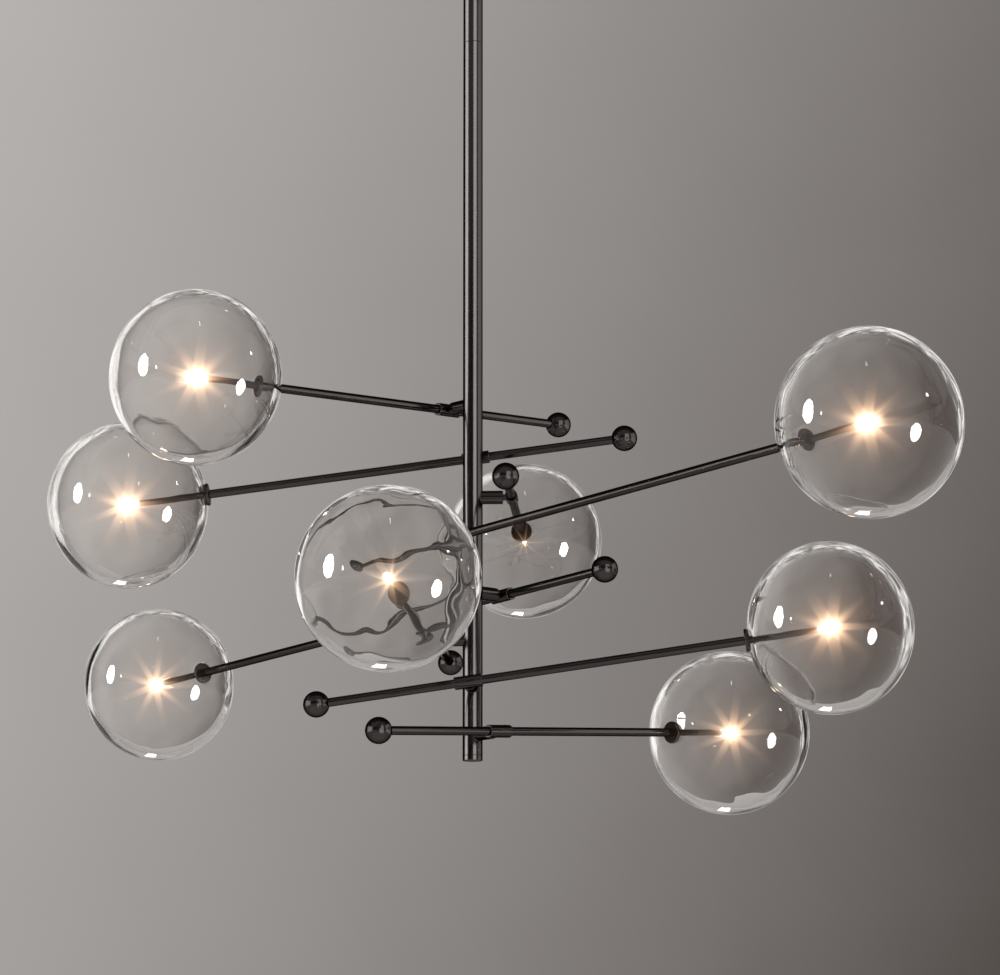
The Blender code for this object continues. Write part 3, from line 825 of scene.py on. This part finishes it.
skylight = bpy.data.objects.new("skylight", bpy.data.lights.new("skylight", "SUN"))
skylight.data.energy = FLOOR_LIGHT
skylight.data.angle = FLOOR_LIGHT_ANGLE
skylight.light_linking.receiver_collection = group("floor_only", [floor])
bpy.context.scene.collection.objects.link(skylight)


# Lights: large scrims light the metal. The stem, the arms and the lampholders each have their own, because
# the photograph's highlights on them differ. Small lamps make the ovals and strips that each globe reflects.
LIGHT_MIDDLE = Vector((0, 0, -0.8))
SCRIM_DISTANCE = 3.2


def soft_light(name, place, target, size, radiance, receivers, shape="RECTANGLE"):
    """A soft light at a place, turned to a target. It lights only the receivers, and shows in their
    reflections but not to the camera, straight or through glass."""
    lamp = bpy.data.lights.new(name, "AREA")
    lamp.shape = shape
    lamp.size, lamp.size_y = size
    area = lamp.size * lamp.size_y * (math.pi / 4 if shape == "ELLIPSE" else 1)
    lamp.energy = radiance * math.pi * area
    light = bpy.data.objects.new(name, lamp)
    bpy.context.scene.collection.objects.link(light)
    light.location = place
    light.rotation_euler = (place - target).to_track_quat("Z", "Y").to_euler()
    light.visible_camera = light.visible_transmission = False
    light.light_linking.receiver_collection = receivers


def scrim(name, receivers, turn, rise, spread, radiance, distance=SCRIM_DISTANCE):
    """A light round the object. Turn runs from the camera to its right, rise from level up, and spread is the
    width and height that it fills as seen from the object, all in degrees."""
    heading, lift = CAMERA_TURN + math.radians(turn), math.radians(rise)
    out = Vector((math.sin(heading) * math.cos(lift), -math.cos(heading) * math.cos(lift), math.sin(lift)))
    size = [2 * distance * math.tan(math.radians(angle / 2)) for angle in spread]
    soft_light(name, LIGHT_MIDDLE + out * distance, LIGHT_MIDDLE, size, radiance, receivers)


def glint(name, globe, where, reach, size, radiance, shape="RECTANGLE"):
    """A small lamp for one globe, whose reflection shows at that place across and up its front. Reach is the
    lamp's distance from the glass."""
    centre = arm_place(globe, ARM_REACHES[globe - 1]).translation
    back = (CAMERA_PLACE - centre).normalized()
    right = Vector((0, 0, 1)).cross(back).normalized()
    up = back.cross(right)
    facing = right * where[0] + up * where[1] + back * math.sqrt(1 - where[0] ** 2 - where[1] ** 2)
    seen = centre + facing * GLOBE_RADIUS
    place = seen + (2 * facing.dot(back) * facing - back) * reach
    name = "%s_%d" % (name, globe)
    only = group("%s_globe" % name, [bubbles[globe - 1]])
    soft_light(name, place, seen, size, radiance, only, shape)


metal = [o for o in bpy.context.scene.objects if o.type == "MESH" and o not in bubbles and o is not floor]
stems = group("stems", [o for o in metal if "_stem_" in o.name])
holders = group("holders", [o for o in metal if o.name.startswith("holder_")])
arms = group("arms", [o for o in metal if o.name not in stems.objects and o.name not in holders.objects])
metalwork = group("metalwork", metal)
scrim("left_scrim", stems, turn=-79, rise=13, spread=(38, 56), radiance=5.2)
scrim("left_arm_scrim", arms, turn=-78, rise=4, spread=(50, 30), radiance=2.0)
scrim("left_holder_scrim", holders, turn=-64, rise=4, spread=(18, 40), radiance=4.0)
scrim("right_scrim", stems, turn=25, rise=2, spread=(35, 68), radiance=3.4)
scrim("right_arm_scrim", arms, turn=25, rise=2, spread=(35, 60), radiance=1.6)
scrim("right_fill", metalwork, turn=100, rise=8, spread=(72, 50), radiance=1.1)
scrim("top_fill", metalwork, turn=0, rise=48, spread=(110, 50), radiance=0.22, distance=3.0)
scrim("low_fill", metalwork, turn=0, rise=-58, spread=(90, 60), radiance=0.14, distance=2.0)
for globe in range(1, ARM_COUNT + 1):
    glint("oval_lamp", globe, (-0.62, 0.13), reach=0.38, size=(0.12, 0.18), radiance=30, shape="ELLIPSE")
    glint("low_oval_lamp", globe, (0.50, -0.10), reach=0.38, size=(0.11, 0.15), radiance=30, shape="ELLIPSE")
    glint("round_lamp", globe, (0.62, 0.28), reach=0.40, size=(0.03, 0.03), radiance=24, shape="ELLIPSE")
    glint("side_lamp", globe, (-0.475, 0.11), reach=0.40, size=(0.026, 0.036), radiance=22, shape="ELLIPSE")
    glint("low_strip", globe, (-0.08, -0.93), reach=0.9, size=(0.10, 0.24), radiance=7)
    glint("top_strip", globe, (0.01, 0.60), reach=0.6, size=(0.014, 0.09), radiance=9)


# Backdrop: a grey wall that is brighter on the left, with a faint mottle. Only reflected rays see the broken
# bright ring round it, the cove, which draws the globes' rims. Past it they see a dim room.
BACKDROP_LIT = (0.50, 0.477, 0.459, 1)
BACKDROP_SHADED = (0.080, 0.067, 0.062, 1)
BACKDROP_MIDDLE = 0.524
BACKDROP_TO_RIGHT = 2.5
BACKDROP_TO_TOP = -0.88
BACKDROP_MOTTLE = 0.05
BACKDROP_MOTTLE_SIZE = 0.045
BACKDROP_END = math.radians(17)
COVE_START = math.radians(23)
COVE_FADE = math.radians(32)
COVE_END = math.radians(40)
COVE_DIM = (0.22, 0.21, 0.20, 1)
COVE_BRIGHT = (1.15, 1.12, 1.09, 1)
STREAK_SIZE = 0.08
STREAK_EDGES = (0.42, 0.62)
LEFT_COVE_EDGES = (0.24, 0.44)
LEFT_COVE_SHARE = 0.7
RIM_FADE = math.radians(39)
RIM_END = math.radians(52)
RIM_SURFACES = 3.5
ROOM_WALL = (0.24, 0.225, 0.216, 1)
ROOM_DIM = (0.15, 0.14, 0.135, 1)
ROOM_HIGH = (0.06, 0.055, 0.053, 1)
ROOM_LOW = (0.09, 0.083, 0.08, 1)
ROOM_BAND = (-0.1, 0.15)

studio = Shader(bpy.data.worlds.new("studio"))
bpy.context.scene.world = studio.owner
outward = studio.node("ShaderNodeTexCoord", output="Generated")


def leaning(axis):
    """How far a direction leans towards one of the axes that the camera has at rest, from -1 to 1."""
    towards = camera.matrix_world.to_3x3() @ Vector(axis)
    inputs = {0: outward, 1: towards}
    return studio.node("ShaderNodeVectorMath", {"operation": "DOT_PRODUCT"}, inputs, "Value")


def stepped(value, low, high):
    """Rises smoothly from 0 to 1 as the value goes from low to high."""
    inputs = {0: value, 1: low, 2: high}
    return studio.node("ShaderNodeMapRange", {"interpolation_type": "SMOOTHSTEP"}, inputs)


# The backdrop and the cove, and how far from straight ahead each reaches.
mottle = (studio.grain(outward, BACKDROP_MOTTLE_SIZE, detail=3) - 0.5) * BACKDROP_MOTTLE
slope = leaning((1, 0, 0)) * BACKDROP_TO_RIGHT + leaning((0, 1, 0)) * BACKDROP_TO_TOP
backdrop = studio.mix(BACKDROP_MIDDLE + slope + mottle, BACKDROP_LIT, BACKDROP_SHADED)
streaks = stepped(studio.grain(outward, STREAK_SIZE, detail=3), *STREAK_EDGES)
left = stepped(leaning((-1, 0, 0)), *LEFT_COVE_EDGES)
cove = studio.mix(streaks + left * LEFT_COVE_SHARE, COVE_DIM, COVE_BRIGHT)
ahead = leaning((0, 0, -1))
in_backdrop = stepped(ahead, math.cos(COVE_START), math.cos(BACKDROP_END))
in_cove = stepped(ahead, math.cos(COVE_END), math.cos(COVE_FADE))
in_rim = stepped(ahead, math.cos(RIM_END), math.cos(RIM_FADE))

# What rays see that were never reflected, that were reflected within glass, and that left a mirror surface.
# Within glass, a ray that has crossed more than RIM_SURFACES surfaces sees only the dim room.
seen_plain = studio.mix(in_cove, ROOM_WALL, backdrop)
seen_in_rim = studio.mix(in_rim, ROOM_DIM, studio.mix(in_backdrop, cove, backdrop))
upward = studio.node("ShaderNodeSeparateXYZ", {}, {0: outward}, "Z")
above = studio.node("ShaderNodeMapRange", {}, {0: upward, 1: ROOM_BAND[0], 2: ROOM_BAND[1]})
seen_in_mirror = studio.mix(in_cove, studio.mix(above, ROOM_LOW, ROOM_HIGH), cove)

ray = studio.node("ShaderNodeLightPath", output="Is Transmission Ray")
thin = studio.math("LESS_THAN", ray.other("Transmission Depth"), RIM_SURFACES)
reflected = studio.math("MINIMUM", ray.other("Glossy Depth"), 1.0)
seen_in_glass = studio.mix(thin, ROOM_DIM, seen_in_rim)
colour = studio.mix(reflected, seen_plain, studio.mix(ray, seen_in_mirror, seen_in_glass))
background = studio.node("ShaderNodeBackground", {}, {"Color": colour})
studio.node("ShaderNodeOutputWorld", {}, {"Surface": background})


# Picture: the rays and the glow round the lit lamps, as a camera's lens makes them. Each spreads what is
# brighter than its threshold over the finished picture.
STAR_THRESHOLD = 7.0
STAR_STRENGTH = 1.0
STAR_RAYS = 9
STAR_TURN = math.radians(22)
STAR_LENGTH = 3
STAR_FADE = 0.89
STAR_TINT = (1.0, 0.77, 0.68, 1)
GLOW_THRESHOLD = 2.5
GLOW_STRENGTH = 1.0
GLOW_SIZE = 0.75
GLOW_TINT = (1.35, 1.12, 1.03, 1)

bpy.context.scene.view_settings.view_transform = "Standard"
picture = Shader(bpy.context.scene)
star = picture.node(
    "CompositorNodeGlare",
    {"glare_type": "STREAKS", "quality": "HIGH"},
    {
        "Image": picture.node("CompositorNodeRLayers", output="Image"),
        "Threshold": STAR_THRESHOLD,
        "Strength": STAR_STRENGTH,
        "Streaks": STAR_RAYS,
        "Streaks Angle": STAR_TURN,
        "Iterations": STAR_LENGTH,
        "Fade": STAR_FADE,
        "Color Modulation": 0.0,
        "Tint": STAR_TINT,
    },
    "Image",
)
glow = picture.node(
    "CompositorNodeGlare",
    {"glare_type": "FOG_GLOW", "quality": "HIGH"},
    {
        "Image": star,
        "Threshold": GLOW_THRESHOLD,
        "Strength": GLOW_STRENGTH,
        "Size": GLOW_SIZE,
        "Tint": GLOW_TINT,
    },
    "Image",
)
picture.node("CompositorNodeComposite", {}, {"Image": glow})
